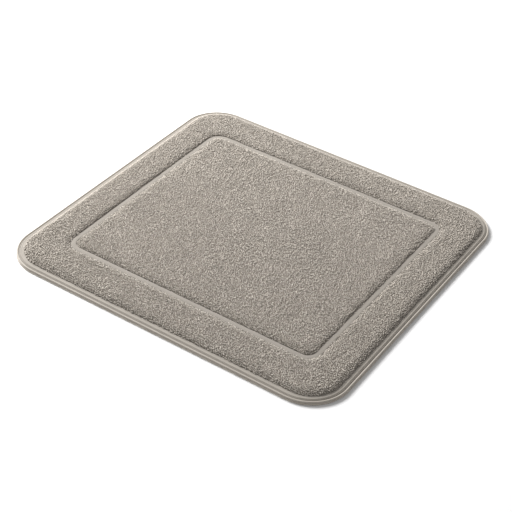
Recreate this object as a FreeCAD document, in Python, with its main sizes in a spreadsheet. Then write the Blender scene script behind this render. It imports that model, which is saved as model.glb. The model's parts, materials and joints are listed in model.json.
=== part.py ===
"""Foam bath mat: a fleece cover pressed into a raised border and centre panel, a foam
core, an anti-slip base cloth with grip dots, and a piped, bound and stitched edge.

Millimetres, +Z up. The origin is on the floor under the middle of the mat. +X runs
along the longer side and +Y away from the front edge.
"""
import FreeCAD
import Part
import Sketcher
import math
import os

doc = FreeCAD.newDocument("bath_mat")

# The driving sizes, one spreadsheet row each.
SIZES = [
    ("mat_length", 500.0, "outside, along X"),
    ("mat_depth", 480.0, "outside, along Y"),
    ("corner_radius", 56.0, "outside corner, seen from above"),
    ("binding_leg", 0.8, "thickness of the tape folded round the base cloth"),
    ("binding_width", 10.0, "how far the tape reaches in from the edge"),
    ("binding_round", 1.0, "rounding of the tape's outer fold"),
    ("cloth_thickness", 0.8, "anti-slip base cloth"),
    ("cloth_inset", 1.6, "edge of the base cloth, inside the tape's fold"),
    ("piping_diameter", 3.4, "outside of the piping bead"),
    ("piping_setback", 0.6, "the bead stands this far in from the outside edge"),
    ("sleeve_wall", 0.5, "piping fabric"),
    ("tongue_overhang", 1.0, "the piping's sewn allowance reaches this far past the tape"),
    ("fit_gap", 0.1, "room between neighbouring soft pieces"),
    ("pressed_thickness", 2.2, "cover where it is pressed flat, at the rim"),
    ("channel_rise", 2.4, "pressed channel above the pressed rim"),
    ("rim_width", 11.6, "the raised pile starts this far in from the edge"),
    ("pile_rise", 4.9, "raised pile above the pressed rim"),
    ("cover_thickness", 4.3, "cover and pile over the foam"),
    ("cover_side", 3.0, "cover and pile beside the foam"),
    ("shoulder_radius", 2.3, "rounding of the pile's upper edges"),
    ("border_ends", 56.5, "outside edge to channel, mean of the left and right"),
    ("border_sides", 64.8, "outside edge to channel, mean of the front and back"),
    ("panel_shift_x", 0.0, "the channel frame sits this far off centre along X"),
    ("panel_shift_y", 0.0, "the channel frame sits this far off centre along Y"),
    ("channel_ends", 8.6, "width of the channel, at the left and right"),
    ("channel_sides", 9.2, "width of the channel, at the front and back"),
    ("channel_corner", 21.0, "outer corner of the channel"),
    ("panel_corner", 12.2, "corner of the centre panel"),
    ("stitch_margin", 0.9, "line of the rim seam, in from the cover's edge"),
    ("stitch_bed_width", 0.7, "slot that the stitches pull into the fabric"),
    ("stitch_bed_depth", 0.55, "depth of that slot"),
    ("thread_diameter", 0.45, "sewing thread"),
    ("dot_diameter", 6.0, "grip dot, at the base cloth"),
    ("dot_face_diameter", 4.4, "grip dot, where it meets the floor"),
    ("dot_pitch", 24.0, "between the centres of neighbouring dots in a row"),
    ("dot_margin", 8.0, "clear cloth between the dots and the tape or the label"),
    ("label_length", 46.0, "care label, along X"),
    ("label_depth", 24.0, "care label, along Y"),
    ("label_thickness", 0.25, "care label"),
    ("label_place", 90.0, "left outside edge to the care label"),
]
sheet = doc.addObject("Spreadsheet::Sheet", "Sizes")
for row, (alias, value, note) in enumerate(SIZES, start=1):
    sheet.set("A%d" % row, note)
    sheet.set("B%d" % row, str(value))
    sheet.setAlias("B%d" % row, alias)
doc.recompute()

# Heights above the floor, as expressions on the spreadsheet.
FLOOR = "0"
CLOTH_UNDERSIDE = "Sizes.binding_leg"
CLOTH_TOP = "(Sizes.binding_leg + Sizes.cloth_thickness)"
BINDING_TOP = "(2 * Sizes.binding_leg + Sizes.cloth_thickness)"
TONGUE_TOP = "(%s + 2 * Sizes.sleeve_wall)" % BINDING_TOP
RIM_TOP = "(%s + Sizes.pressed_thickness)" % TONGUE_TOP
PILE_TOP = "(%s + Sizes.pile_rise)" % RIM_TOP
FOAM_TOP = "(%s - Sizes.cover_thickness)" % PILE_TOP
BEAD_CENTRE = "(%s + Sizes.piping_diameter / 2)" % BINDING_TOP

# Distances in from the outside edge.
OUTSIDE = "0"
BEAD_INSET = "(Sizes.piping_setback + Sizes.piping_diameter / 2)"
COVER_EDGE = "(Sizes.piping_setback + Sizes.piping_diameter + Sizes.fit_gap)"
TONGUE_REACH = "(Sizes.binding_width + Sizes.tongue_overhang)"
FOAM_EDGE = "(%s + Sizes.fit_gap)" % TONGUE_REACH
COVER_INSIDE = "(Sizes.rim_width + Sizes.cover_side)"
STITCH_LINE = "(%s + Sizes.stitch_margin)" % COVER_EDGE
BED_OUTER = "(%s - Sizes.stitch_bed_width / 2)" % STITCH_LINE
BED_INNER = "(%s + Sizes.stitch_bed_width / 2)" % STITCH_LINE


def size(expression):
    """The number that an expression on the spreadsheet gives."""
    return float(sheet.evalExpression(expression))


def rim_outline(inset):
    """The mat's own outline, moved this far inwards."""
    return {
        "length": "(Sizes.mat_length - 2 * %s)" % inset,
        "depth": "(Sizes.mat_depth - 2 * %s)" % inset,
        "radius": "(Sizes.corner_radius - %s)" % inset,
        "middle": ("0", "0"),
    }


def framed_outline(ends, sides, radius, inset):
    """An outline at these distances from the mat's edges, moved this far inwards."""
    return {
        "length": "(Sizes.mat_length - 2 * (%s + %s))" % (ends, inset),
        "depth": "(Sizes.mat_depth - 2 * (%s + %s))" % (sides, inset),
        "radius": "(%s - %s)" % (radius, inset),
        "middle": ("Sizes.panel_shift_x", "Sizes.panel_shift_y"),
    }


def border_outline(inset):
    """The raised border's inner edge, moved this far inwards, or outwards if negative."""
    return framed_outline("Sizes.border_ends", "Sizes.border_sides", "Sizes.channel_corner",
                          inset)


def panel_outline(inset):
    """The centre panel's edge, moved this far inwards."""
    return framed_outline("Sizes.border_ends + Sizes.channel_ends",
                          "Sizes.border_sides + Sizes.channel_sides", "Sizes.panel_corner",
                          inset)


def new_body(label):
    body = doc.addObject("PartDesign::Body", label)
    body.Label = label
    return body


def new_sketch(body, name, plane, offset):
    """A sketch parallel to one of the body's own planes, at an offset from it."""
    sketch = body.newObject("Sketcher::SketchObject", name)
    plane_object = [item for item in body.Origin.OriginFeatures if item.Role == plane][0]
    sketch.AttachmentSupport = [(plane_object, "")]
    sketch.MapMode = "FlatFace"
    sketch.setExpression("AttachmentOffset.Base.z", offset)
    return sketch


def drive(sketch, kind, arguments, expression):
    """A sketch dimension whose value the spreadsheet sets."""
    index = sketch.addConstraint(Sketcher.Constraint(kind, *arguments))
    sketch.setExpression("Constraints[%d]" % index, expression)


def add_outline(sketch, outline):
    """A rounded rectangle, with its middle beside or on the sketch's origin."""
    middle_x, middle_y = outline["middle"]
    half_length = size(outline["length"]) / 2
    half_depth = size(outline["depth"]) / 2
    radius = size(outline["radius"])
    right = size(middle_x) + half_length
    left = size(middle_x) - half_length
    top = size(middle_y) + half_depth
    bottom = size(middle_y) - half_depth
    arc_right = right - radius
    arc_left = left + radius
    arc_top = top - radius
    arc_bottom = bottom + radius
    up = FreeCAD.Vector(0, 0, 1)
    # Front, right, back and left side, each with the corner that follows it.
    sides = [
        ((arc_left, bottom), (arc_right, bottom), (arc_right, arc_bottom)),
        ((right, arc_bottom), (right, arc_top), (arc_right, arc_top)),
        ((arc_right, top), (arc_left, top), (arc_left, arc_top)),
        ((left, arc_top), (left, arc_bottom), (arc_left, arc_bottom)),
    ]
    front = sketch.GeometryCount
    for number, (start, end, centre) in enumerate(sides):
        sketch.addGeometry(Part.LineSegment(FreeCAD.Vector(*start), FreeCAD.Vector(*end)))
        angle = (number - 1) * math.pi / 2
        circle = Part.Circle(FreeCAD.Vector(*centre), up, radius)
        sketch.addGeometry(Part.ArcOfCircle(circle, angle, angle + math.pi / 2))
    right_side, back, left_side = front + 2, front + 4, front + 6
    for number in range(8):
        following = front + (number + 1) % 8
        sketch.addConstraint(Sketcher.Constraint("Tangent", front + number, 2, following, 1))
    for line, direction in ((front, "Horizontal"), (right_side, "Vertical"),
                            (back, "Horizontal"), (left_side, "Vertical")):
        sketch.addConstraint(Sketcher.Constraint(direction, line))
    for arc in (right_side + 1, back + 1, left_side + 1):
        sketch.addConstraint(Sketcher.Constraint("Equal", front + 1, arc))
    drive(sketch, "Radius", (front + 1, radius), outline["radius"])
    drive(sketch, "DistanceX", (-1, 1, right_side, 1, right),
          "%s + %s / 2" % (middle_x, outline["length"]))
    drive(sketch, "DistanceX", (left_side, 1, right_side, 1, right - left), outline["length"])
    drive(sketch, "DistanceY", (-1, 1, back, 1, top),
          "%s + %s / 2" % (middle_y, outline["depth"]))
    drive(sketch, "DistanceY", (front, 1, back, 1, top - bottom), outline["depth"])


def pad(body, name, bottom, top, *outlines):
    """A plate between two heights: one outline, or a ring between two."""
    sketch = new_sketch(body, name + "_sketch", "XY_Plane", bottom)
    for outline in outlines:
        add_outline(sketch, outline)
    feature = body.newObject("PartDesign::Pad", name)
    feature.Profile = sketch
    feature.setExpression("Length", "%s - %s" % (top, bottom))
    doc.recompute()
    return feature


def pocket(body, name, bottom, top, upwards, *outlines):
    """A cut between two heights, sketched on the open side."""
    sketch = new_sketch(body, name + "_sketch", "XY_Plane", bottom if upwards else top)
    for outline in outlines:
        add_outline(sketch, outline)
    volume = body.Shape.Volume
    feature = body.newObject("PartDesign::Pocket", name)
    feature.Profile = sketch
    feature.Reversed = upwards
    feature.setExpression("Length", "%s - %s" % (top, bottom))
    doc.recompute()
    if body.Shape.Volume > volume - 1:
        raise RuntimeError(name + " cut nothing")
    return feature


def sweep_round(body, name, kind, inset, height, diameter):
    """A round section swept along the rim, added to or cut from the body."""
    path = new_sketch(body, name + "_path", "XY_Plane", height)
    add_outline(path, rim_outline(inset))
    start = "-(Sizes.mat_length / 2 - Sizes.corner_radius)"
    section = new_sketch(body, name + "_section", "YZ_Plane", start)
    centre_y = -size("Sizes.mat_depth / 2 - " + inset)
    centre = FreeCAD.Vector(centre_y, size(height), 0)
    radius = size(diameter) / 2
    section.addGeometry(Part.Circle(centre, FreeCAD.Vector(0, 0, 1), radius))
    drive(section, "Radius", (0, radius), diameter + " / 2")
    drive(section, "DistanceX", (0, 3, -1, 1, -centre_y), "Sizes.mat_depth / 2 - " + inset)
    drive(section, "DistanceY", (-1, 1, 0, 3, size(height)), height)
    feature = body.newObject("PartDesign::" + kind, name)
    feature.Profile = section
    feature.Spine = path
    doc.recompute()
    return feature


def fillet_level(body, name, heights, radius, chosen):
    """Round the level edges at these heights whose middle passes the test."""
    levels = [size(height) for height in heights]
    names = []
    for number, edge in enumerate(body.Shape.Edges, start=1):
        box = edge.BoundBox
        level = any(abs(box.ZMin - z) < 1e-4 and abs(box.ZMax - z) < 1e-4 for z in levels)
        if level and chosen(edge.valueAt((edge.FirstParameter + edge.LastParameter) / 2)):
            names.append("Edge%d" % number)
    base = body.Tip
    feature = body.newObject("PartDesign::Fillet", name)
    feature.Base = (base, names)
    feature.setExpression("Radius", radius)
    doc.recompute()
    return feature


# Tape folded round the raw edge of the base cloth. The mat rests on it and on the dots.
base_binding = new_body("base_binding")
tape_inner = rim_outline("Sizes.binding_width")
pad(base_binding, "binding_ring", FLOOR, BINDING_TOP, rim_outline(OUTSIDE), tape_inner)
# The cloth's slot is open towards the middle, so it starts past the tape's inner edge.
pocket(base_binding, "cloth_slot", CLOTH_UNDERSIDE, CLOTH_TOP, False,
       rim_outline("Sizes.cloth_inset"))
pocket(base_binding, "under_stitch_bed", FLOOR, "Sizes.stitch_bed_depth", True,
       rim_outline(BED_OUTER), rim_outline(BED_INNER))
outer_fold = size("Sizes.binding_round")


def on_outer_edge(point):
    """True on the tape's outside edge, false on everything further in."""
    half_length = size("Sizes.mat_length / 2")
    half_depth = size("Sizes.mat_depth / 2")
    radius = size("Sizes.corner_radius")
    past_x = max(abs(point.x) - (half_length - radius), 0)
    past_y = max(abs(point.y) - (half_depth - radius), 0)
    return abs(math.hypot(past_x, past_y) - radius) < outer_fold / 2


fillet_level(base_binding, "outer_fold", (FLOOR, BINDING_TOP), "Sizes.binding_round",
             on_outer_edge)

# Anti-slip base cloth, its edge held in the tape's fold.
base_cloth = new_body("base_cloth")
pad(base_cloth, "cloth_sheet", CLOTH_UNDERSIDE, CLOTH_TOP,
    rim_outline("(Sizes.cloth_inset + Sizes.fit_gap)"))

# Piping: a fabric sleeve round a cord, with its allowance sewn into the rim.
edge_piping = new_body("edge_piping")
pad(edge_piping, "tongue", BINDING_TOP, TONGUE_TOP, rim_outline(BEAD_INSET),
    rim_outline(TONGUE_REACH))
sweep_round(edge_piping, "sleeve", "AdditivePipe", BEAD_INSET, BEAD_CENTRE,
            "Sizes.piping_diameter")
CORD_HOLE = "(Sizes.piping_diameter - 2 * Sizes.sleeve_wall)"
sweep_round(edge_piping, "cord_hole", "SubtractivePipe", BEAD_INSET, BEAD_CENTRE, CORD_HOLE)

piping_cord = new_body("piping_cord")
sweep_round(piping_cord, "cord", "AdditivePipe", BEAD_INSET, BEAD_CENTRE,
            "(%s - Sizes.fit_gap)" % CORD_HOLE)

# Fleece cover: pressed thin at the rim, half down in the channel, full pile on the rest.
pile_cover = new_body("pile_cover")
pad(pile_cover, "pressed_rim", TONGUE_TOP, RIM_TOP, rim_outline(COVER_EDGE))
pad(pile_cover, "raised_pile", RIM_TOP, PILE_TOP, rim_outline("Sizes.rim_width"))
pocket(pile_cover, "channel", "(%s + Sizes.channel_rise)" % RIM_TOP, PILE_TOP, False,
       border_outline("0"), panel_outline("0"))
fillet_level(pile_cover, "pile_shoulders", (PILE_TOP,), "Sizes.shoulder_radius",
             lambda point: True)
pocket(pile_cover, "border_inside", TONGUE_TOP, FOAM_TOP, True, rim_outline(COVER_INSIDE),
       border_outline("-Sizes.cover_side"))
pocket(pile_cover, "panel_inside", TONGUE_TOP, FOAM_TOP, True,
       panel_outline("Sizes.cover_side"))
pocket(pile_cover, "top_stitch_bed", "(%s - Sizes.stitch_bed_depth)" % RIM_TOP, RIM_TOP,
       False, rim_outline(BED_OUTER), rim_outline(BED_INNER))

# Foam: a thin web under the rim and channel, full height under the raised pile.
foam_core = new_body("foam_core")
pad(foam_core, "web", CLOTH_TOP, TONGUE_TOP, rim_outline(FOAM_EDGE))
pad(foam_core, "border_foam", TONGUE_TOP, FOAM_TOP,
    rim_outline("(%s + Sizes.fit_gap)" % COVER_INSIDE),
    border_outline("(-Sizes.cover_side - Sizes.fit_gap)"))
pad(foam_core, "panel_foam", TONGUE_TOP, FOAM_TOP,
    panel_outline("(Sizes.cover_side + Sizes.fit_gap)"))

# The rim seam's thread, above and below, lying in the slots it pulls into the fabric.
seam_thread_top = new_body("seam_thread_top")
sweep_round(seam_thread_top, "top_thread", "AdditivePipe", STITCH_LINE,
            "(%s - Sizes.stitch_bed_depth + Sizes.thread_diameter / 2)" % RIM_TOP,
            "Sizes.thread_diameter")
seam_thread_under = new_body("seam_thread_under")
sweep_round(seam_thread_under, "under_thread", "AdditivePipe", STITCH_LINE,
            "(Sizes.stitch_bed_depth - Sizes.thread_diameter / 2)", "Sizes.thread_diameter")

# Care label on the base cloth's underside, its back edge against the tape.
care_label = doc.addObject("Part::Box", "care_label")
care_label.Label = "care_label"
care_label.setExpression("Length", "Sizes.label_length")
care_label.setExpression("Width", "Sizes.label_depth")
care_label.setExpression("Height", "Sizes.label_thickness")
LABEL_X = "(-Sizes.mat_length / 2 + Sizes.label_place)"
LABEL_Y = "(Sizes.mat_depth / 2 - Sizes.binding_width - Sizes.label_depth)"
care_label.setExpression("Placement.Base.x", LABEL_X)
care_label.setExpression("Placement.Base.y", LABEL_Y)
care_label.setExpression("Placement.Base.z", CLOTH_UNDERSIDE + " - Sizes.label_thickness")


def dot_places():
    """Staggered rows of dots that fill the base cloth, clear of the tape and the label."""
    dot_radius = size("Sizes.dot_diameter / 2")
    pitch = size("Sizes.dot_pitch")
    row_pitch = pitch * math.sqrt(3) / 2
    clear = size("Sizes.dot_margin") + dot_radius
    inset = size("Sizes.binding_width") + clear
    half_x = size("Sizes.mat_length / 2") - inset
    half_y = size("Sizes.mat_depth / 2") - inset
    corner = max(size("Sizes.corner_radius") - inset, 0)
    label_left = size(LABEL_X) - clear
    label_right = size(LABEL_X + " + Sizes.label_length") + clear
    label_front = size(LABEL_Y) - clear
    rows = int(half_y / row_pitch)
    columns = int(half_x / pitch) + 1
    for row_number in range(-rows, rows + 1):
        for column in range(-columns, columns + 1):
            x = (column + row_number % 2 / 2) * pitch
            y = row_number * row_pitch
            past_x = max(abs(x) - (half_x - corner), 0)
            past_y = max(abs(y) - (half_y - corner), 0)
            under_label = label_left < x < label_right and y > label_front
            if abs(x) <= half_x and math.hypot(past_x, past_y) <= corner and not under_label:
                yield x, y


# Grip dots: moulded studs with sloping sides, as tall as the tape's lower leg, so that
# both rest on the floor.
base_radius = size("Sizes.dot_diameter / 2")
face_radius = size("Sizes.dot_face_diameter / 2")
dot_height = size(CLOTH_UNDERSIDE)
dots = []
for x, y in dot_places():
    dots.append(Part.makeCone(face_radius, base_radius, dot_height, FreeCAD.Vector(x, y, 0)))
grip_dots = doc.addObject("Part::Feature", "grip_dots")
grip_dots.Label = "grip_dots"
grip_dots.Shape = Part.makeCompound(dots)

doc.recompute()
for item in doc.Objects:
    if "Invalid" in item.State or "Error" in item.State:
        raise RuntimeError("%s failed: %s" % (item.Label, item.State))

os.makedirs("parts", exist_ok=True)
NODES = (base_binding, base_cloth, edge_piping, piping_cord, pile_cover, foam_core,
         seam_thread_top, seam_thread_under, care_label, grip_dots)
for node in NODES:
    if node.Shape.isNull() or not node.Shape.isValid():
        raise RuntimeError("%s has no valid shape" % node.Label)
    node.Shape.exportStep("parts/%s.step" % node.Label)
    print("%-18s %3d solids %10.1f mm3" % (node.Label, len(node.Shape.Solids),
                                          node.Shape.Volume))
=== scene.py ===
import json
import math
import bpy
import numpy as np
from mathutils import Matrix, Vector

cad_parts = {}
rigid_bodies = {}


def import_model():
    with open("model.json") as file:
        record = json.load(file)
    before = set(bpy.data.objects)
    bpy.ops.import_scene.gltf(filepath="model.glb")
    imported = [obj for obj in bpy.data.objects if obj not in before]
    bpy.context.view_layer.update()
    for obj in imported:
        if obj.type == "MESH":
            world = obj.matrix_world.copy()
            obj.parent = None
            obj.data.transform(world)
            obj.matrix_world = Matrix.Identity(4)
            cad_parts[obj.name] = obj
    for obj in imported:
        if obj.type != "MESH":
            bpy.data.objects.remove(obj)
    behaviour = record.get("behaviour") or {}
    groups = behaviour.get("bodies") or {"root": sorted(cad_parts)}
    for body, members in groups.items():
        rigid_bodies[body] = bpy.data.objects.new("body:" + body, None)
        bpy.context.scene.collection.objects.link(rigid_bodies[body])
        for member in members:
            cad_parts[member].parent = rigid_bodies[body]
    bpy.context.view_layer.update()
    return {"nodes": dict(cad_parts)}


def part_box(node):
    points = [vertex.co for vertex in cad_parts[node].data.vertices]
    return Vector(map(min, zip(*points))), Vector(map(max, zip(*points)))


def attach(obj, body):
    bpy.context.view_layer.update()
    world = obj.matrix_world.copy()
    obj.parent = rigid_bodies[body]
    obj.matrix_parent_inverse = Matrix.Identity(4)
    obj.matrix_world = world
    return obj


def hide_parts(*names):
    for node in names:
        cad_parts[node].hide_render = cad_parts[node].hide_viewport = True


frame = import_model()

# ---------------------------------------------------------------------------
# Camera: above the front right of the mat, turned a little off level.
# ---------------------------------------------------------------------------
bpy.ops.object.camera_add(
    location=(0.7408, -1.2240, 1.0773),
    rotation=(math.radians(52.26), math.radians(-3.06), math.radians(33.63)),
)
bpy.context.object.data.lens = 93.07
bpy.context.scene.camera = bpy.context.object

# ---------------------------------------------------------------------------
# Foam core: a slab of open-cell foam, cut full height under the border and the
# centre panel and to a thin web under the channel. It lies loose inside the cover.
# ---------------------------------------------------------------------------
MM = 0.001
FOAM_EDGE_ROUNDING = 0.5 * MM
FOAM_CELLS_PER_METRE = 900.0


def select_only(piece):
    """The piece alone is selected and active."""
    bpy.ops.object.select_all(action="DESELECT")
    piece.select_set(True)
    bpy.context.view_layer.objects.active = piece


def apply_modifier(piece, kind, **settings):
    """Give the piece one modifier with these settings, and apply it."""
    select_only(piece)
    bpy.ops.object.modifier_add(type=kind)
    modifier = piece.modifiers[-1]
    for name, value in settings.items():
        setattr(modifier, name, value)
    bpy.ops.object.modifier_apply(modifier=modifier.name)


def copy_of_node(node, name):
    """A merged copy of a CAD node's mesh, as a new piece."""
    piece = frame["nodes"][node].copy()
    piece.data = piece.data.copy()
    piece.parent = None
    piece.name = name
    piece.data.name = name
    for key in list(piece.keys()):
        del piece[key]
    bpy.context.collection.objects.link(piece)
    select_only(piece)
    bpy.ops.object.mode_set(mode="EDIT")
    bpy.ops.mesh.select_all(action="SELECT")
    bpy.ops.mesh.remove_doubles(threshold=0.001 * MM)
    bpy.ops.mesh.dissolve_limited(angle_limit=math.radians(1))
    bpy.ops.object.mode_set(mode="OBJECT")
    return piece


class Wire:
    """A node's output. Arithmetic on it adds Math nodes to the same tree."""

    def __init__(self, tree, output=None):
        self.tree = tree
        self.output = output

    def node(self, kind, inputs=None, output=0, stops=None, **settings):
        """Add any node: its settings first, then the values or wires of its sockets."""
        made = self.tree.nodes.new(kind)
        for name, value in settings.items():
            setattr(made, name, value)
        for place, (position, colour) in enumerate(stops or []):
            elements = made.color_ramp.elements
            stop = elements[place] if place < 2 else elements.new(position)
            stop.position = position
            stop.color = colour
        for key, value in (inputs or {}).items():
            if isinstance(value, Wire):
                self.tree.links.new(value.output, made.inputs[key])
            else:
                made.inputs[key].default_value = value
        return Wire(self.tree, made.outputs[output])

    def math(self, operation, *values):
        """A Math node on these values or wires."""
        return self.node("ShaderNodeMath", dict(enumerate(values)), operation=operation)

    def __add__(self, other):
        return self.math("ADD", self, other)

    def __mul__(self, other):
        return self.math("MULTIPLY", self, other)

    __radd__ = __add__
    __rmul__ = __mul__

    def noise(self, place, per_metre, detail=2.0):
        """Fractal noise from 0 to 1, with this many cells to the metre."""
        return self.node("ShaderNodeTexNoise",
                         {"Vector": place, "Scale": per_metre, "Detail": detail})

    def between(self, factor, dark, light):
        """The colour that lies this far from the dark one to the light one."""
        return self.node("ShaderNodeMix", {0: factor, 6: dark, 7: light}, output=2,
                         data_type="RGBA")

    def place(self):
        """The place on the piece, in metres."""
        return self.node("ShaderNodeTexCoord", output="Object")

    def threads(self, place, scale, direction):
        """Fine parallel bands across X or Y, as of woven threads."""
        return self.node("ShaderNodeTexWave", {"Vector": place, "Scale": scale},
                         bands_direction=direction)

    def attribute(self, name):
        """A number that the mesh holds under this name."""
        return self.node("ShaderNodeAttribute", output="Fac", attribute_name=name)


def cloth_material(name, roughness, sheen=0.0):
    """A matt material, a first wire for its nodes, and its shader."""
    material = bpy.data.materials.new(name)
    material.use_nodes = True
    shader = material.node_tree.nodes["Principled BSDF"]
    shader.inputs["Roughness"].default_value = roughness
    shader.inputs["Sheen Weight"].default_value = sheen
    shader.inputs["Sheen Roughness"].default_value = 0.5
    shader.inputs["Sheen Tint"].default_value = (1.0, 0.95, 0.88, 1)
    shader.inputs["Specular IOR Level"].default_value = 0.15
    return material, Wire(material.node_tree), shader


def connect(wire, shader, colour, height=None, distance=0.2 * MM, strength=0.5):
    """Wire a colour, and a height for the bump, into the shader."""
    wire.tree.links.new(colour.output, shader.inputs["Base Color"])
    if height is not None:
        bump = wire.node("ShaderNodeBump", {"Strength": strength, "Distance": distance,
                                            "Height": height})
        wire.tree.links.new(bump.output, shader.inputs["Normal"])


def wear(piece, *materials):
    """The piece's material slots hold these materials and no others."""
    piece.data.materials.clear()
    for material in materials:
        piece.data.materials.append(material)


foam = copy_of_node("foam_core", "foam_core")
apply_modifier(foam, "BEVEL", width=FOAM_EDGE_ROUNDING, segments=2,
               angle_limit=math.radians(40))
foam_material, foam_wire, foam_shader = cloth_material("open_cell_foam", 0.95)
foam_place = foam_wire.place()
cells = foam_wire.node("ShaderNodeTexVoronoi",
                       {"Vector": foam_place, "Scale": FOAM_CELLS_PER_METRE})
foam_yellowing = foam_wire.noise(foam_place, 14.0)
foam_tone = cells * 0.7 + foam_yellowing * 0.3
connect(foam_wire, foam_shader,
        foam_wire.between(foam_tone, (0.50, 0.45, 0.36, 1), (0.86, 0.83, 0.75, 1)), cells)
wear(foam, foam_material)
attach(foam, "root")
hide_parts("foam_core")

# ---------------------------------------------------------------------------
# Base cloth: the anti-slip cloth under the whole mat, plain woven and matt. Its raw
# edge is held in the binding tape's fold.
# ---------------------------------------------------------------------------
BASE_WEAVE_SCALE = 310.0
base_cloth = copy_of_node("base_cloth", "base_cloth")
base_material, base_wire, base_shader = cloth_material("woven_base", 0.9, sheen=0.1)
base_place = base_wire.place()
warp = base_wire.threads(base_place, BASE_WEAVE_SCALE, "X")
weft = base_wire.threads(base_place, BASE_WEAVE_SCALE, "Y")
weave = warp * 0.5 + weft * 0.5
base_tone = weave * 0.6 + base_wire.noise(base_place, 40.0) * 0.4
connect(base_wire, base_shader,
        base_wire.between(base_tone, (0.20, 0.18, 0.155, 1), (0.44, 0.40, 0.35, 1)), weave)
wear(base_cloth, base_material)
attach(base_cloth, "root")
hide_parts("base_cloth")

# ---------------------------------------------------------------------------
# Base binding: ribbed tape folded round the raw edge of the base cloth and caught in the
# rim seam. It is the lower of the two edges that show round the mat.
# ---------------------------------------------------------------------------
tape_low, tape_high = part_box("base_binding")
OUTER_CORNER = 56.0 * MM
RIB_PITCH = 2.8 * MM
RIB_DEPTH = 0.45 * MM
RIB_LEAN = 2.4 * MM
RIB_BAND = 1.6 * MM
RIB_FADE = 0.8 * MM
TAPE_THICKNESS = 0.8 * MM
TAPE_REACH = 10.0 * MM
TAPE_FOLD = 1.0 * MM
TAPE_STEP = 1.5 * MM


def rim_path(step, inset_x=0, inset_y=0, corner=OUTER_CORNER):
    """A rounded rectangle inside the mat's outline, as a closed curve with small steps."""
    bpy.ops.object.select_all(action="DESELECT")
    bpy.ops.mesh.primitive_plane_add(size=1, location=(0, 0, 0))
    path = bpy.context.object
    path.name = "rim_path"
    bpy.ops.object.mode_set(mode="EDIT")
    bpy.ops.mesh.select_all(action="SELECT")
    bpy.ops.transform.resize(value=(2 * (tape_high[0] - inset_x),
                                    2 * (tape_high[1] - inset_y), 1))
    bpy.ops.mesh.bevel(offset=corner, segments=round(corner * math.pi / 2 / step),
                       affect="VERTICES", profile=0.5)
    bpy.ops.mesh.select_all(action="SELECT")
    bpy.ops.mesh.delete(type="ONLY_FACE")
    bpy.ops.mesh.select_mode(type="EDGE")
    bpy.ops.object.mode_set(mode="OBJECT")
    longest = 0
    for edge in path.data.edges:
        ends = [path.data.vertices[end].co for end in edge.vertices]
        length = (ends[0] - ends[1]).length
        edge.select = length > 4 * step
        longest = max(longest, length)
    bpy.ops.object.mode_set(mode="EDIT")
    bpy.ops.mesh.subdivide(number_cuts=round(longest / step) - 1)
    bpy.ops.object.mode_set(mode="OBJECT")
    select_only(path)
    bpy.ops.object.convert(target="CURVE")
    return path


rim = rim_path(2.2 * MM)


def rim_ring(name, profile_points, smooth_angle=40, path=rim):
    """Sweep a closed profile round a path. Its points are (inset, height)."""
    profile = bpy.data.curves.new(name + "_profile", "CURVE")
    spline = profile.splines.new("POLY")
    spline.points.add(len(profile_points) - 1)
    for point, (inset, height) in zip(spline.points, profile_points):
        point.co = (-inset, height, 0, 1)
    spline.use_cyclic_u = True
    profile_object = bpy.data.objects.new(name + "_profile", profile)
    bpy.context.collection.objects.link(profile_object)
    ring = path.copy()
    ring.data = path.data.copy()
    ring.name = name
    bpy.context.collection.objects.link(ring)
    ring.data.bevel_mode = "OBJECT"
    ring.data.bevel_object = profile_object
    select_only(ring)
    bpy.ops.object.convert(target="MESH")
    ring.data.name = name
    bpy.ops.object.mode_set(mode="EDIT")
    bpy.ops.mesh.select_all(action="SELECT")
    bpy.ops.mesh.remove_doubles(threshold=0.001 * MM)
    bpy.ops.mesh.normals_make_consistent(inside=False)
    bpy.ops.object.mode_set(mode="OBJECT")
    bpy.ops.object.shade_smooth_by_angle(angle=math.radians(smooth_angle))
    bpy.data.objects.remove(profile_object)
    return ring


def arc(centre, radius, start, end, steps):
    """Points on an arc, angles in degrees, on the (inset, height) plane."""
    angles = np.radians(np.linspace(start, end, steps + 1))
    return [(centre[0] + radius * math.cos(a), centre[1] + radius * math.sin(a))
            for a in angles]


def places(mesh):
    """The mesh's vertices as an array."""
    found = np.empty(len(mesh.vertices) * 3, np.float32)
    mesh.vertices.foreach_get("co", found)
    return found.reshape(-1, 3)


def rim_frame(x, y):
    """Distance round the rim to each point, and the way that is outward there."""
    straight = (tape_high[0] - OUTER_CORNER, tape_high[1] - OUTER_CORNER)
    past_x = np.maximum(np.abs(x) - straight[0], 0)
    past_y = np.maximum(np.abs(y) - straight[1], 0)
    bend = np.arctan2(past_y, past_x)
    along = (np.minimum(np.abs(y), straight[1]) + bend * OUTER_CORNER
             + np.maximum(straight[0] - np.abs(x), 0))
    quarter = straight[0] + straight[1] + OUTER_CORNER * math.pi / 2
    along = np.where(x * y < 0, -along, along) + np.where(x < 0, 2 * quarter, 0)
    return along, 4 * quarter, np.sign(x) * np.cos(bend), np.sign(y) * np.sin(bend)


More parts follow.
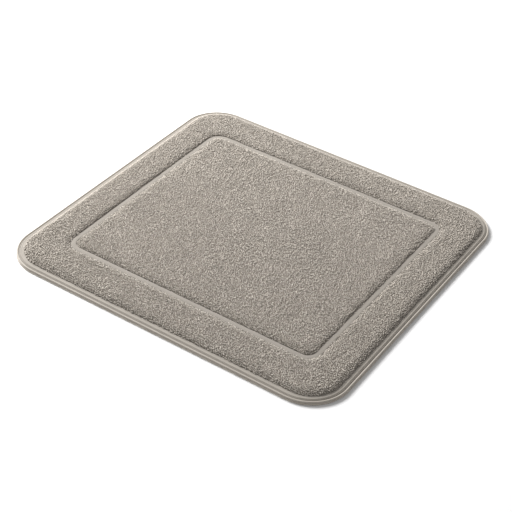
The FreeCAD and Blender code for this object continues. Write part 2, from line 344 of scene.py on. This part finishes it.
tape_top = tape_high[2]
tape_profile = (
    [(TAPE_REACH, 0.0)]
    + [(TAPE_REACH - TAPE_STEP * step, 0.0) for step in range(1, 6)]
    + arc((TAPE_FOLD, TAPE_FOLD), TAPE_FOLD, 270, 180, 4)
    + arc((TAPE_FOLD, tape_top - TAPE_FOLD), TAPE_FOLD, 180, 90, 4)
    + [(TAPE_REACH, tape_top), (TAPE_REACH, tape_top - TAPE_THICKNESS),
       (TAPE_THICKNESS * 2, tape_top - TAPE_THICKNESS), (TAPE_THICKNESS * 2, TAPE_THICKNESS),
       (TAPE_REACH, TAPE_THICKNESS)]
)
fine_rim = rim_path(0.7 * MM)
binding = rim_ring("base_binding", tape_profile, path=fine_rim)
bpy.data.objects.remove(fine_rim)
spots = places(binding.data)
along, whole, outward_x, outward_y = rim_frame(spots[:, 0], spots[:, 1])
ribs = round(whole / RIB_PITCH)
slant = along * ribs / whole + spots[:, 2] / RIB_LEAN
fold_side = np.hypot(np.maximum(np.abs(spots[:, 0]) - tape_high[0] + OUTER_CORNER, 0),
                     np.maximum(np.abs(spots[:, 1]) - tape_high[1] + OUTER_CORNER, 0))
on_fold = np.clip((fold_side - OUTER_CORNER + RIB_BAND) / RIB_FADE, 0, 1)
dip = (0.5 + 0.5 * np.sin(math.tau * slant)) * RIB_DEPTH * on_fold
spots[:, 0] -= dip * outward_x
spots[:, 1] -= dip * outward_y
binding.data.vertices.foreach_set("co", spots.ravel())
tape_material, tape_wire, tape_shader = cloth_material("binding_tape", 0.75, sheen=0.25)
tape_place = tape_wire.place()
tape_slub = tape_wire.noise(tape_place, 420.0, 3.0)
tape_patch = tape_wire.noise(tape_place, 60.0)
tape_tone = tape_slub * 0.6 + tape_patch * 0.4
connect(tape_wire, tape_shader,
        tape_wire.between(tape_tone, (0.28, 0.25, 0.218, 1), (0.66, 0.6, 0.528, 1)), tape_slub)
wear(binding, tape_material)
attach(binding, "root")
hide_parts("base_binding")

# ---------------------------------------------------------------------------
# Piping cord: a soft three-ply cotton cord that fills the piping's sleeve. The sleeve is
# sewn shut round it, so it has no free end.
# ---------------------------------------------------------------------------
sleeve_low, sleeve_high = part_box("edge_piping")
cord_low, cord_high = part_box("piping_cord")
BEAD_PINCH = 0.3 * MM
PLY_OFFSET = 0.45
PLY_RADIUS = 0.54
PLY_HALF_TURN = 75
bead_setback = sleeve_low[0] - tape_low[0]
bead_diameter = sleeve_high[2] - sleeve_low[2]
bead_radius = bead_diameter / 2 - BEAD_PINCH
bead_centre = (bead_setback + bead_radius, sleeve_low[2] + bead_radius)
cord_radius = (cord_high[2] - cord_low[2]) / 2 - BEAD_PINCH
cord_profile = []
for ply in range(3):
    facing = ply * math.tau / 3
    ply_centre = (bead_centre[0] + PLY_OFFSET * cord_radius * math.cos(facing),
                  bead_centre[1] + PLY_OFFSET * cord_radius * math.sin(facing))
    cord_profile += arc(ply_centre, PLY_RADIUS * cord_radius,
                        ply * 120 - PLY_HALF_TURN, ply * 120 + PLY_HALF_TURN, 4)
cord = rim_ring("piping_cord", cord_profile)
cord_material, cord_wire, cord_shader = cloth_material("cotton_cord", 0.9, sheen=0.2)
cord_place = cord_wire.place()
cord_fibres = cord_wire.noise(cord_place, 1500.0, 3.0)
connect(cord_wire, cord_shader,
        cord_wire.between(cord_fibres, (0.58, 0.55, 0.48, 1), (0.88, 0.86, 0.80, 1)),
        cord_fibres)
wear(cord, cord_material)
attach(cord, "root")
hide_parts("piping_cord")

# ---------------------------------------------------------------------------
# Edge piping: a strip of smooth fabric folded round the cord. Its two edges lie together
# as a tongue between the cover and the tape, and the rim seam goes through them.
# ---------------------------------------------------------------------------
TONGUE_REACH = 11.0 * MM
TONGUE_PLY = 0.46 * MM
TONGUE_GAP = 0.06 * MM
SLEEVE_WALL = 0.45 * MM
tongue_foot = sleeve_low[2]
under_gap = tongue_foot + TONGUE_PLY
over_gap = under_gap + TONGUE_GAP
tongue_top = over_gap + TONGUE_PLY
sleeve_profile = (
    [(TONGUE_REACH, tongue_foot), (7.0 * MM, tongue_foot)]
    + arc(bead_centre, bead_radius, 270, -25, 20)
    + [(4.0 * MM, tongue_top), (7.0 * MM, tongue_top), (TONGUE_REACH, tongue_top),
       (TONGUE_REACH, over_gap), (5.0 * MM, over_gap)]
    + arc(bead_centre, bead_radius - SLEEVE_WALL, -34, 278, 20)
    + [(5.0 * MM, under_gap), (TONGUE_REACH, under_gap)]
)
piping = rim_ring("edge_piping", sleeve_profile)
piping_material, piping_wire, piping_shader = cloth_material("piping_fabric", 0.6, sheen=0.3)
piping_place = piping_wire.place()
piping_weave = piping_wire.noise(piping_place, 900.0, 2.0)
piping_patch = piping_wire.noise(piping_place, 90.0)
piping_tone = piping_weave * 0.4 + piping_patch * 0.6
connect(piping_wire, piping_shader,
        piping_wire.between(piping_tone, (0.26, 0.235, 0.205, 1), (0.46, 0.42, 0.37, 1)),
        piping_weave, strength=0.3)
wear(piping, piping_material)
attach(piping, "root")
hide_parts("edge_piping")

# ---------------------------------------------------------------------------
# Pile cover: knitted fleece, pressed thin and smooth along the rim and in the channel,
# with its full pile standing on the border and on the centre panel.
# ---------------------------------------------------------------------------
cover_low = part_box("pile_cover")[0]
PRESSED_THICKNESS = 2.2 * MM
RIM_WIDTH = 10.9 * MM
BORDER_ENDS = 56.5 * MM
BORDER_SIDES = 64.8 * MM
CHANNEL_ENDS = 8.6 * MM
CHANNEL_SIDES = 9.2 * MM
CHANNEL_CORNER = 21.0 * MM
PANEL_CORNER = 12.2 * MM
CHANNEL_RISE = 1.6 * MM
RIM_SHOULDER = 9.5 * MM
CHANNEL_SHOULDER = 9.0 * MM
SHOULDER_POWER = 2.2
GROUND_GRID = 2.0 * MM
TUFT_SPACING = 1.35 * MM
PILE_BASE_RISE = 4.3 * MM
GROUND_TUCK = 0.8 * MM
BAND_SINK = 1.2 * MM
BAND_SINK_RUN = 0.8 * MM
FOAM_CLEARANCE = 0.2 * MM
FOAM_MARGIN = 3.0 * MM
PILE_LEAN = 0.4 * MM
PILE_FADE = 1.0 * MM


def inside_distance(x, y, ends, sides, corner):
    """How far each point lies inside a rounded rectangle at these insets from the rim."""
    past_x = np.abs(x) - (tape_high[0] - ends - corner)
    past_y = np.abs(y) - (tape_high[1] - sides - corner)
    round_part = np.hypot(np.maximum(past_x, 0), np.maximum(past_y, 0))
    return corner - round_part - np.minimum(np.maximum(past_x, past_y), 0)


def rounded_over(distance, width):
    """From 0 at the foot of the pile to 1 where its top begins."""
    across = np.clip(distance / width, 0, 1)
    return 1 - (1 - across) ** SHOULDER_POWER


def pile_distances(x, y):
    """How far each point lies inside the raised edge, and how far outside the channel."""
    inside_rim = inside_distance(x, y, RIM_WIDTH, RIM_WIDTH, OUTER_CORNER - RIM_WIDTH)
    in_channel = inside_distance(x, y, BORDER_ENDS, BORDER_SIDES, CHANNEL_CORNER)
    in_panel = inside_distance(x, y, BORDER_ENDS + CHANNEL_ENDS,
                               BORDER_SIDES + CHANNEL_SIDES, PANEL_CORNER)
    return inside_rim, np.maximum(-in_channel, in_panel)


ground_inset = RIM_WIDTH - GROUND_TUCK
bpy.ops.object.select_all(action="DESELECT")
bpy.ops.mesh.primitive_plane_add(size=1, location=(0, 0, 0))
ground = bpy.context.object
ground.name = "pile_ground"
bpy.ops.object.mode_set(mode="EDIT")
bpy.ops.mesh.select_all(action="SELECT")
bpy.ops.transform.resize(value=(tape_high[0] - tape_low[0] - 2 * ground_inset,
                                tape_high[1] - tape_low[1] - 2 * ground_inset, 1))
bpy.ops.transform.translate(value=(0, 0, cover_low[2]))
bpy.ops.mesh.bevel(offset=OUTER_CORNER - ground_inset, segments=24, affect="VERTICES",
                   profile=0.5)
bpy.ops.mesh.select_all(action="SELECT")
bpy.ops.mesh.extrude_region_move(
    TRANSFORM_OT_translate={"value": (0, 0, PRESSED_THICKNESS)})
bpy.ops.mesh.select_all(action="SELECT")
bpy.ops.mesh.normals_make_consistent(inside=False)
bpy.ops.object.mode_set(mode="OBJECT")
apply_modifier(ground, "REMESH", mode="VOXEL", voxel_size=GROUND_GRID)

spots = places(ground.data)
inside_rim, off_channel = pile_distances(spots[:, 0], spots[:, 1])
on_top = spots[:, 2] > cover_low[2] + PRESSED_THICKNESS / 2
into_pile = np.minimum(inside_rim, off_channel)
beside_channel = CHANNEL_RISE + (PILE_BASE_RISE - CHANNEL_RISE) * rounded_over(
    off_channel, CHANNEL_SHOULDER)
sunk = np.clip(-off_channel / BAND_SINK_RUN, 0, 1) * BAND_SINK
rise = rounded_over(inside_rim, RIM_SHOULDER) * (beside_channel - sunk)
foam_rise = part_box("foam_core")[1][2] - cover_low[2] + FOAM_CLEARANCE
hollow = foam_rise * rounded_over(into_pile - FOAM_MARGIN, CHANNEL_SHOULDER)
spots[:, 2] += np.where(on_top, rise, hollow)
ground.data.vertices.foreach_set("co", spots.ravel())
pile_mask = np.clip((into_pile + PILE_LEAN) / PILE_FADE, 0, 1) * on_top
sown = ground.data.attributes.new("pile", "FLOAT", "POINT")
sown.data.foreach_set("value", pile_mask.astype(np.float32))
ground.data.update()
select_only(ground)
bpy.ops.object.shade_smooth()
lumps = ground.vertex_groups.new(name="lumps")
for amount in (0.25, 0.5, 0.75, 1.0):
    chosen = np.nonzero(np.abs(pile_mask - amount) <= 0.125)[0]
    lumps.add([int(index) for index in chosen], amount, "REPLACE")
for breadth, depth in ((45 * MM, 0.7 * MM), (7 * MM, 0.55 * MM)):
    cloud = bpy.data.textures.new("pile_lumps", "CLOUDS")
    cloud.noise_scale = breadth
    apply_modifier(ground, "DISPLACE", texture=cloud, texture_coords="LOCAL", direction="Z",
                   strength=depth, mid_level=0.5, vertex_group="lumps")


TUFT_ROOT = 0.5 * MM
TUFT_SWELL = 1.7
TUFT_BODY = 1.1 * MM
TUFT_TIP = 0.9 * MM


def tuft(name, curl):
    """One tuft of fibres: narrow at its root, full in the middle, bent to a soft tip."""
    bpy.ops.object.select_all(action="DESELECT")
    bpy.ops.mesh.primitive_circle_add(vertices=4, radius=TUFT_ROOT, fill_type="NGON")
    made = bpy.context.object
    made.name = name
    bpy.ops.object.mode_set(mode="EDIT")
    bpy.ops.mesh.select_all(action="SELECT")
    bpy.ops.mesh.extrude_region_move(
        TRANSFORM_OT_translate={"value": (0.2 * curl * MM, 0, TUFT_BODY)})
    bpy.ops.transform.resize(value=(TUFT_SWELL, TUFT_SWELL, 1))
    bpy.ops.mesh.extrude_region_move(
        TRANSFORM_OT_translate={"value": (0.7 * curl * MM, 0, TUFT_TIP)})
    bpy.ops.mesh.merge(type="CENTER")
    bpy.ops.object.mode_set(mode="OBJECT")
    bpy.ops.object.shade_smooth()
    heights = places(made.data)[:, 2] / (TUFT_BODY + TUFT_TIP)
    tip = made.data.attributes.new("tip", "FLOAT", "POINT")
    tip.data.foreach_set("value", heights.astype(np.float32))
    return made


tuft_shapes = bpy.data.collections.new("tuft_shapes")
bpy.context.scene.collection.children.link(tuft_shapes)
for number, curl in enumerate((0.0, 0.5, 1.0)):
    shape = tuft("tuft_%d" % number, curl)
    bpy.context.collection.objects.unlink(shape)
    tuft_shapes.objects.link(shape)

sowing = bpy.data.node_groups.new("sow_pile", "GeometryNodeTree")
sowing.interface.new_socket("Geometry", in_out="INPUT", socket_type="NodeSocketGeometry")
sowing.interface.new_socket("Geometry", in_out="OUTPUT", socket_type="NodeSocketGeometry")
sower = Wire(sowing)
skin = sower.node("NodeGroupInput")
pile_here = sower.node("GeometryNodeInputNamedAttribute", {"Name": "pile"}, output="Attribute",
                  data_type="FLOAT")
seeds = sower.node("GeometryNodeDistributePointsOnFaces",
                   {"Mesh": skin, "Distance Min": TUFT_SPACING,
                    "Density Max": 3.0 / TUFT_SPACING ** 2, "Density Factor": pile_here,
                    "Seed": 7}, distribute_method="POISSON")
seed_node = seeds.output.node
upright = Wire(sowing, seed_node.outputs["Normal"])
spot = sower.node("GeometryNodeInputPosition")


def swirl(per_metre, amount):
    """A soft sideways push that changes over the surface."""
    field = sower.node("ShaderNodeTexNoise", {"Vector": spot, "Scale": per_metre,
                                              "Detail": 1.0}, output="Color")
    centred = sower.node("ShaderNodeVectorMath", {0: field, 1: (0.5, 0.5, 0.5)},
                         operation="SUBTRACT")
    return sower.node("ShaderNodeVectorMath", {0: centred, "Scale": amount},
                      operation="SCALE")


def sum_of(first, second):
    """Two directions added."""
    return sower.node("ShaderNodeVectorMath", {0: first, 1: second}, operation="ADD")


scatter = sower.node("FunctionNodeRandomValue", {0: (-0.45,) * 3, 1: (0.45,) * 3, "Seed": 3},
                     data_type="FLOAT_VECTOR")
heading = sum_of(sum_of(upright, scatter), sum_of(swirl(30.0, 1.0), swirl(150.0, 1.1)))
roll = sower.node("FunctionNodeRandomValue", {0: (0, 0, 0), 1: (0, 0, math.tau), "Seed": 4},
                  data_type="FLOAT_VECTOR")
roll = sower.node("FunctionNodeEulerToRotation", {0: roll})
turn = sower.node("FunctionNodeAlignRotationToVector", {"Rotation": roll, "Vector": heading},
                  axis="Z")
size = sower.node("FunctionNodeRandomValue", {2: 0.75, 3: 1.25, "Seed": 5}, output=1,
                  data_type="FLOAT")
kinds = sower.node("GeometryNodeCollectionInfo", {"Collection": tuft_shapes,
                   "Separate Children": True, "Reset Children": True})
which = sower.node("FunctionNodeRandomValue", {4: 0, 5: 2, "Seed": 6}, output=2,
                   data_type="INT")
tufts = sower.node("GeometryNodeInstanceOnPoints",
                        {"Points": seeds, "Instance": kinds, "Pick Instance": True,
                         "Instance Index": which, "Rotation": turn, "Scale": size})
own_tone = sower.node("FunctionNodeRandomValue", {2: 0.0, 3: 1.0, "Seed": 8}, output=1,
                      data_type="FLOAT")
patch_tone = sower.node("ShaderNodeTexNoise", {"Vector": spot, "Scale": 60.0, "Detail": 3.0})
tone = own_tone * 0.6 + patch_tone * 0.4
tufts = sower.node("GeometryNodeStoreNamedAttribute",
                        {"Geometry": tufts, "Name": "tone", "Value": tone},
                        data_type="FLOAT", domain="INSTANCE")
tufts = sower.node("GeometryNodeRealizeInstances", {"Geometry": tufts})
group_output = sowing.nodes.new("NodeGroupOutput")
sowing.links.new(tufts.output, group_output.inputs[0])

pile = ground.copy()
pile.data = ground.data.copy()
pile.name = "pile"
bpy.context.scene.collection.objects.link(pile)
apply_modifier(pile, "NODES", node_group=sowing)

flange_low = cover_low[2]
edge = cover_low[0] - tape_low[0]
flange_outline = [(0.0, 0.0), (-0.45, 0.7), (-0.25, 1.3), (0.3, 1.55), (0.9, 1.3), (1.3, 1.65),
                  (1.8, 2.1), (2.6, 2.3), (3.3, 2.25), (3.7, 2.0), (4.1, 2.2), (5.2, 2.28),
                  (6.2, 2.2), (7.2, 2.05), (8.4, 1.7), (8.6, 0.1)]
flange_profile = [(edge + inset * MM, flange_low + height * MM)
                  for inset, height in flange_outline]
flange = rim_ring("flange", flange_profile, 60)

band_half = CHANNEL_ENDS / 2
band_top = flange_low + PRESSED_THICKNESS + CHANNEL_RISE
half_band = [(1.0, 0.45), (0.5, -0.1), (0.15, -1.0), (-0.25, -1.0), (-0.7, -0.15),
             (-1.6, 0.2), (-2.9, 0.32)]
band_profile = (
    [(-band_half - 1.0 * MM, band_top - 1.4 * MM)]
    + [(-band_half - past * MM, band_top + height * MM) for past, height in half_band]
    + [(band_half + past * MM, band_top + height * MM) for past, height in reversed(half_band)]
    + [(band_half + 1.0 * MM, band_top - 1.4 * MM)]
)
crease_path = rim_path(1.6 * MM, BORDER_ENDS + CHANNEL_ENDS / 2,
                       BORDER_SIDES + CHANNEL_SIDES / 2,
                       (CHANNEL_CORNER + PANEL_CORNER) / 2)
channel_band = rim_ring("channel_band", band_profile, 60, crease_path)
bpy.data.objects.remove(crease_path)
bpy.data.objects.remove(rim)

ground_material, ground_wire, ground_shader = cloth_material("fleece_ground", 0.9, sheen=0.25)
ground_place = ground_wire.place()
in_pile = ground_wire.attribute("pile")
nap = ground_wire.noise(ground_place, 700.0, 3.0)
nap_patch = ground_wire.noise(ground_place, 50.0)
nap_tone = nap * 0.5 + nap_patch * 0.5
# The ground's pressed fleece, which shows mostly in the channel, is painted darker than the
# same pressed fleece on the rim flange: painted shade in the channel.
pressed_shaded_colour = ground_wire.between(nap_tone, (0.19, 0.173, 0.152, 1), (0.28, 0.256, 0.226, 1))
deep_colour = ground_wire.between(nap_tone, (0.20, 0.18, 0.155, 1), (0.30, 0.27, 0.235, 1))
connect(ground_wire, ground_shader,
        ground_wire.between(in_pile, pressed_shaded_colour, deep_colour), nap, strength=0.4)
wear(ground, ground_material)
wear(channel_band, ground_material)

# The rim flange is the same pressed fleece as the channel, in a lighter colour; the channel's
# darker copy is painted shade.
rim_material, rim_wire, rim_shader = cloth_material("pressed_rim", 0.8, sheen=0.25)
rim_place = rim_wire.place()
rim_nap = rim_wire.noise(rim_place, 800.0, 3.0)
rim_tone = rim_nap * 0.5 + rim_wire.noise(rim_place, 70.0) * 0.5
connect(rim_wire, rim_shader,
        rim_wire.between(rim_tone, (0.225, 0.205, 0.18, 1), (0.335, 0.306, 0.27, 1)),
        rim_nap, strength=0.4)
wear(flange, rim_material)

pile_material, pile_wire, pile_shader = cloth_material("fleece_pile", 0.95, sheen=0.1)
tuft_tone = pile_wire.attribute("tone")
tuft_height = pile_wire.attribute("tip")
# Each tuft grades from a dark root colour to a light tip colour: the dark roots are painted
# shade, for the tufts shading one another near the ground.
shaded_root_colour = pile_wire.between(tuft_tone, (0.18, 0.162, 0.14, 1), (0.36, 0.33, 0.29, 1))
tip_colour = pile_wire.between(tuft_tone, (0.455, 0.415, 0.368, 1), (0.755, 0.692, 0.62, 1))
connect(pile_wire, pile_shader, pile_wire.between(tuft_height, shaded_root_colour, tip_colour))
wear(pile, pile_material)

bpy.ops.object.select_all(action="DESELECT")
for part in (pile, flange, channel_band, ground):
    part.select_set(True)
bpy.context.view_layer.objects.active = ground
bpy.ops.object.join()
cover = ground
cover.name = "pile_cover"
cover.data.name = "pile_cover"


def values(mesh, name):
    """One value for each vertex, from a named attribute."""
    found = np.empty(len(mesh.vertices), np.float32)
    mesh.attributes[name].data.foreach_get("value", found)
    return found


# The ground is mapped from above. The tufts share a strip beside it, across by tone and up
# by height, and only they have a tone above nothing.
GROUND_SHARE = 0.9
STRIP_START = 0.93
STRIP_WIDTH = 0.06
spots = places(cover.data)
tones = values(cover.data, "tone")
from_above = np.column_stack((GROUND_SHARE * (spots[:, 0] / (2 * tape_high[0]) + 0.5),
                              GROUND_SHARE * (spots[:, 1] / (2 * tape_high[1]) + 0.5)))
every_other = np.arange(len(spots)) % 2
by_tone = np.column_stack((STRIP_START + STRIP_WIDTH * tones + 0.003 * every_other,
                           0.02 + 0.95 * values(cover.data, "tip")))
placed = np.where(tones[:, None] > 0, by_tone, from_above)
corners = np.empty(len(cover.data.loops), np.int32)
cover.data.loops.foreach_get("vertex_index", corners)
bake_map = cover.data.uv_layers.new(name="OFBake")
bake_map.data.foreach_set("uv", placed[corners].astype(np.float32).ravel())
for shape in list(tuft_shapes.objects):
    bpy.data.objects.remove(shape)
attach(cover, "root")
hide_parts("pile_cover")

# ---------------------------------------------------------------------------
# Rim seam: lockstitches of spun thread, with the needle thread on top in the crease
# beside the bead and the bobbin thread under the mat.
# ---------------------------------------------------------------------------
STITCH_LENGTH = 2.7 * MM
STITCH_GAP = 0.25 * MM
STITCH_SIDES = 6
STITCH_END_SIZE = 0.6
STITCH_DIP = 0.5
thread_material, thread_wire, thread_shader = cloth_material("spun_thread", 0.7, sheen=0.2)
thread_place = thread_wire.place()
plies = thread_wire.noise(thread_place, 1800.0, 2.0)
connect(thread_wire, thread_shader,
        thread_wire.between(plies, (0.20, 0.18, 0.15, 1), (0.44, 0.40, 0.345, 1)), plies)


def one_stitch(radius):
    """A stitch along X: a round thread that thins and dips at both its ends."""
    bpy.ops.object.select_all(action="DESELECT")
    bpy.ops.mesh.primitive_cylinder_add(
        vertices=STITCH_SIDES, radius=radius, depth=STITCH_LENGTH - STITCH_GAP,
        rotation=(0, math.pi / 2, 0))
    stitch = bpy.context.object
    bpy.ops.object.transform_apply(location=False, rotation=True, scale=False)
    bpy.ops.object.mode_set(mode="EDIT")
    bpy.ops.mesh.select_mode(type="FACE")
    for share in (-0.3, 0.3):
        bpy.ops.mesh.select_all(action="SELECT")
        bpy.ops.mesh.bisect(plane_co=(share * STITCH_LENGTH, 0, 0), plane_no=(1, 0, 0))
    bpy.ops.object.mode_set(mode="OBJECT")
    ends = places(stitch.data)
    at_end = np.abs(ends[:, 0]) > 0.4 * STITCH_LENGTH
    ends[at_end, 1:] *= STITCH_END_SIZE
    ends[at_end, 2] -= STITCH_DIP * radius
    stitch.data.vertices.foreach_set("co", ends.ravel())
    bpy.ops.object.shade_smooth()
    return stitch


def seam(node, upside_down):
    """Lockstitches set end to end along the line of a CAD thread."""
    low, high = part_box(node)
    radius = (high[2] - low[2]) / 2
    half_x, half_y = high[0] - radius, high[1] - radius
    corner = OUTER_CORNER - (low[0] - tape_low[0] + radius)
    straight_x, straight_y = 2 * (half_x - corner), 2 * (half_y - corner)
    quarter = corner * math.pi / 2
    around = 2 * (straight_x + straight_y) + 4 * quarter
    count = round(around / STITCH_LENGTH)
    stitch = one_stitch(radius)
    template = places(stitch.data)
    faces = [tuple(face.vertices) for face in stitch.data.polygons]
    bpy.data.objects.remove(stitch)
    if upside_down:
        template[:, 1:] *= -1
    runs = ((straight_x, (-half_x + corner, -half_y), 0),
            (straight_y, (half_x, -half_y + corner), 90),
            (straight_x, (half_x - corner, half_y), 180),
            (straight_y, (-half_x, half_y - corner), 270))
    spots, sides = [], []
    for number in range(count):
        along = number * around / count
        for straight, (start_x, start_y), degrees in runs:
            turn = math.radians(degrees)
            forward = np.array((math.cos(turn), math.sin(turn)))
            inward = np.array((-math.sin(turn), math.cos(turn)))
            start = np.array((start_x, start_y))
            if along <= straight:
                place = start + along * forward
                break
            along -= straight
            if along <= quarter:
                bend = along / corner
                centre = start + straight * forward + corner * inward
                place = centre + corner * (math.sin(bend) * forward - math.cos(bend) * inward)
                turn += bend
                break
            along -= quarter
        spin = np.array(((math.cos(turn), math.sin(turn)), (-math.sin(turn), math.cos(turn))))
        copied = template.copy()
        copied[:, :2] = template[:, :2] @ spin + place
        copied[:, 2] += (low[2] + high[2]) / 2
        sides += [tuple(number * len(template) + index for index in face) for face in faces]
        spots.append(copied)
    mesh = bpy.data.meshes.new(node)
    mesh.from_pydata(np.concatenate(spots).tolist(), [], sides)
    thread = bpy.data.objects.new(node, mesh)
    bpy.context.collection.objects.link(thread)
    select_only(thread)
    bpy.ops.object.shade_smooth()
    return thread


for node, upside_down in (("seam_thread_top", False), ("seam_thread_under", True)):
    stitches = seam(node, upside_down)
    wear(stitches, thread_material)
    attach(stitches, "root")
    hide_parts(node)

# ---------------------------------------------------------------------------
# Grip dots: flat studs of a soft compound, moulded onto the base cloth in staggered rows.
# They are satin, with a faint uneven bloom.
# ---------------------------------------------------------------------------
dot_material, dot_wire, dot_shader = cloth_material("grip_compound", 0.45)
dot_place = dot_wire.place()
dot_bloom = dot_wire.noise(dot_place, 500.0, 2.0)
connect(dot_wire, dot_shader,
        dot_wire.between(dot_bloom, (0.30, 0.27, 0.24, 1), (0.48, 0.44, 0.39, 1)),
        dot_bloom, strength=0.2)
wear(frame["nodes"]["grip_dots"], dot_material)

# ---------------------------------------------------------------------------
# Care label: a blank slip of woven satin that lies flat on the base cloth, near the back
# edge of the underside.
# ---------------------------------------------------------------------------
SATIN_SCALE = 900.0
label = copy_of_node("care_label", "care_label")
label_material, label_wire, label_shader = cloth_material("woven_satin", 0.4, sheen=0.1)
label_place = label_wire.place()
satin = label_wire.threads(label_place, SATIN_SCALE, "Y")
connect(label_wire, label_shader,
        label_wire.between(satin, (0.70, 0.69, 0.65, 1), (0.86, 0.85, 0.82, 1)), satin)
wear(label, label_material)
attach(label, "root")
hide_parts("care_label")

# ---------------------------------------------------------------------------
# Floor and studio light.
# ---------------------------------------------------------------------------
bpy.ops.object.select_all(action="DESELECT")
bpy.ops.mesh.primitive_plane_add(size=12, location=(0, 0, -0.05 * MM))
floor = bpy.context.object
floor.name = "floor"
floor_material = bpy.data.materials.new("studio_floor")
floor_material.use_nodes = True
floor_shader = floor_material.node_tree.nodes["Principled BSDF"]
floor_shader.inputs["Base Color"].default_value = (0.80, 0.80, 0.80, 1)
floor_shader.inputs["Roughness"].default_value = 0.9
wear(floor, floor_material)

world = bpy.data.worlds.new("studio")
bpy.context.scene.world = world
world.use_nodes = True
world.node_tree.nodes["Background"].inputs["Color"].default_value = (1, 1, 1, 1)
world.node_tree.nodes["Background"].inputs["Strength"].default_value = 0.41


def softbox(name, place, size, watts):
    """A round soft light that faces the mat."""
    bpy.ops.object.light_add(type="AREA", location=place)
    lamp = bpy.context.object
    lamp.name = name
    lamp.data.shape = "DISK"
    lamp.data.size = size
    lamp.data.energy = watts
    lamp.rotation_euler = Vector(place).to_track_quat("Z", "Y").to_euler()


softbox("key_light", (-1.7, 0.2, 1.28), 1.3, 98)
softbox("back_light", (-1.1, 1.2, 1.2), 1.0, 15)
bpy.context.scene.view_settings.view_transform = "Standard"
